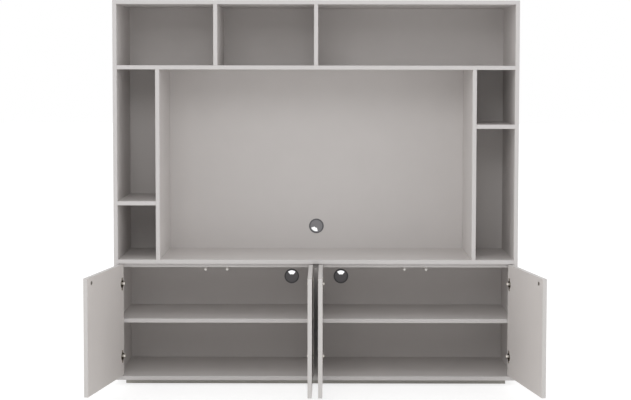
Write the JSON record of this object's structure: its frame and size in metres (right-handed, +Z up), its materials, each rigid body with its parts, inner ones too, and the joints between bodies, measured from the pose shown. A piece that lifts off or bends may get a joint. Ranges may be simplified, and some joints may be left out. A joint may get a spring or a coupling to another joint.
{
  "type": "tv stand",
  "caption": "Tall open shelving unit with a television niche and side towers, on a low cabinet with plain inset push-to-open doors on concealed hinges.",
  "frame": {"origin": "on the floor under the middle of the bounding box, doors open as pictured: mid width, and 208.5 mm in front of the middle of the carcass, which is 1.5 mm behind its front edges", "axes": "+X to the right seen from the front, +Y to the back, +Z up"},
  "size_m": [1.926, 0.837, 1.72],
  "materials": {
    "carcass_laminate": "light warm grey melamine-faced board, satin, with a matching edge band",
    "door_laminate": "light warm grey melamine-faced board, satin, with a matching edge band",
    "plinth_laminate": "light warm grey melamine-faced board, satin",
    "hinge_steel": "nickel-plated pressed steel",
    "strike_steel": "dark zinc-plated steel disc",
    "latch_plastic": "pale grey moulded plastic",
    "grommet_plastic": "mid grey moulded plastic with a fine satin grain"
  },
  "bodies": {
    "carcass": {"hutch_side_left": "carcass_laminate", "hutch_side_right": "carcass_laminate", "hutch_bottom": "carcass_laminate", "hutch_top": "carcass_laminate", "upper_shelf": "carcass_laminate", "top_divider_left": "carcass_laminate", "top_divider_centre": "carcass_laminate", "tower_panel_left": "carcass_laminate", "tower_panel_right": "carcass_laminate", "tower_shelf_left": "carcass_laminate", "tower_shelf_right": "carcass_laminate", "hutch_back": "carcass_laminate", "base_bottom": "carcass_laminate", "base_side_left": "carcass_laminate", "base_side_right": "carcass_laminate", "base_partition": "carcass_laminate", "base_top": "carcass_laminate", "base_shelf_left": "carcass_laminate", "base_shelf_right": "carcass_laminate", "base_back": "carcass_laminate", "plinth_frame": "plinth_laminate", "hinge_arm_outer_left_upper": "hinge_steel", "hinge_arm_outer_left_lower": "hinge_steel", "hinge_arm_inner_left_upper": "hinge_steel", "hinge_arm_inner_left_lower": "hinge_steel", "hinge_arm_inner_right_upper": "hinge_steel", "hinge_arm_inner_right_lower": "hinge_steel", "hinge_arm_outer_right_upper": "hinge_steel", "hinge_arm_outer_right_lower": "hinge_steel", "latch_body_outer_left": "latch_plastic", "latch_body_inner_left": "latch_plastic", "latch_body_inner_right": "latch_plastic", "latch_body_outer_right": "latch_plastic", "grommet_liner_niche": "grommet_plastic", "grommet_liner_base_left": "grommet_plastic", "grommet_liner_base_right": "grommet_plastic"},
    "outer_left_door": {"door_outer_left": "door_laminate", "hinge_cup_outer_left_upper": "hinge_steel", "hinge_cup_outer_left_lower": "hinge_steel", "strike_plate_outer_left": "strike_steel"},
    "inner_left_door": {"door_inner_left": "door_laminate", "hinge_cup_inner_left_upper": "hinge_steel", "hinge_cup_inner_left_lower": "hinge_steel", "strike_plate_inner_left": "strike_steel"},
    "inner_right_door": {"door_inner_right": "door_laminate", "hinge_cup_inner_right_upper": "hinge_steel", "hinge_cup_inner_right_lower": "hinge_steel", "strike_plate_inner_right": "strike_steel"},
    "outer_right_door": {"door_outer_right": "door_laminate", "hinge_cup_outer_right_upper": "hinge_steel", "hinge_cup_outer_right_lower": "hinge_steel", "strike_plate_outer_right": "strike_steel"},
    "outer_left_plunger": {"latch_plunger_outer_left": "latch_plastic"},
    "inner_left_plunger": {"latch_plunger_inner_left": "latch_plastic"},
    "inner_right_plunger": {"latch_plunger_inner_right": "latch_plastic"},
    "outer_right_plunger": {"latch_plunger_outer_right": "latch_plastic"},
    "niche_cap": {"grommet_cap_niche": "grommet_plastic"},
    "base_left_cap": {"grommet_cap_base_left": "grommet_plastic"},
    "base_right_cap": {"grommet_cap_base_right": "grommet_plastic"}
  },
  "joints": [
    {"name": "outer_left_door_hinge", "type": "hinge", "parent": "carcass", "child": "outer_left_door", "pos_m": [-0.871, 0.0055, 0.296], "axis": [0, 0, 1], "range_deg": [0, 101.6]},
    {"name": "inner_left_door_hinge", "type": "hinge", "parent": "carcass", "child": "inner_left_door", "pos_m": [-0.02, 0.0055, 0.296], "axis": [0, 0, -1], "range_deg": [0, 90]},
    {"name": "inner_right_door_hinge", "type": "hinge", "parent": "carcass", "child": "inner_right_door", "pos_m": [0.02, 0.0055, 0.296], "axis": [0, 0, 1], "range_deg": [0, 90]},
    {"name": "outer_right_door_hinge", "type": "hinge", "parent": "carcass", "child": "outer_right_door", "pos_m": [0.871, 0.0055, 0.296], "axis": [0, 0, -1], "range_deg": [0, 101.6]},
    {"name": "outer_left_plunger_slide", "type": "slide", "parent": "carcass", "child": "outer_left_plunger", "axis": [0, 1, 0], "range_m": [0, 0.004], "stiffness_N_per_m": 300, "springref_m": -0.003},
    {"name": "inner_left_plunger_slide", "type": "slide", "parent": "carcass", "child": "inner_left_plunger", "axis": [0, 1, 0], "range_m": [0, 0.004], "stiffness_N_per_m": 300, "springref_m": -0.003},
    {"name": "inner_right_plunger_slide", "type": "slide", "parent": "carcass", "child": "inner_right_plunger", "axis": [0, 1, 0], "range_m": [0, 0.004], "stiffness_N_per_m": 300, "springref_m": -0.003},
    {"name": "outer_right_plunger_slide", "type": "slide", "parent": "carcass", "child": "outer_right_plunger", "axis": [0, 1, 0], "range_m": [0, 0.004], "stiffness_N_per_m": 300, "springref_m": -0.003},
    {"name": "niche_cap_turn", "type": "hinge", "parent": "carcass", "child": "niche_cap", "pos_m": [0, 0.3995, 0.673], "axis": [0, 1, 0], "continuous": true},
    {"name": "base_left_cap_turn", "type": "hinge", "parent": "carcass", "child": "base_left_cap", "pos_m": [-0.117, 0.3995, 0.433], "axis": [0, 1, 0], "continuous": true},
    {"name": "base_right_cap_turn", "type": "hinge", "parent": "carcass", "child": "base_right_cap", "pos_m": [0.117, 0.3995, 0.433], "axis": [0, 1, 0], "continuous": true}
  ]
}
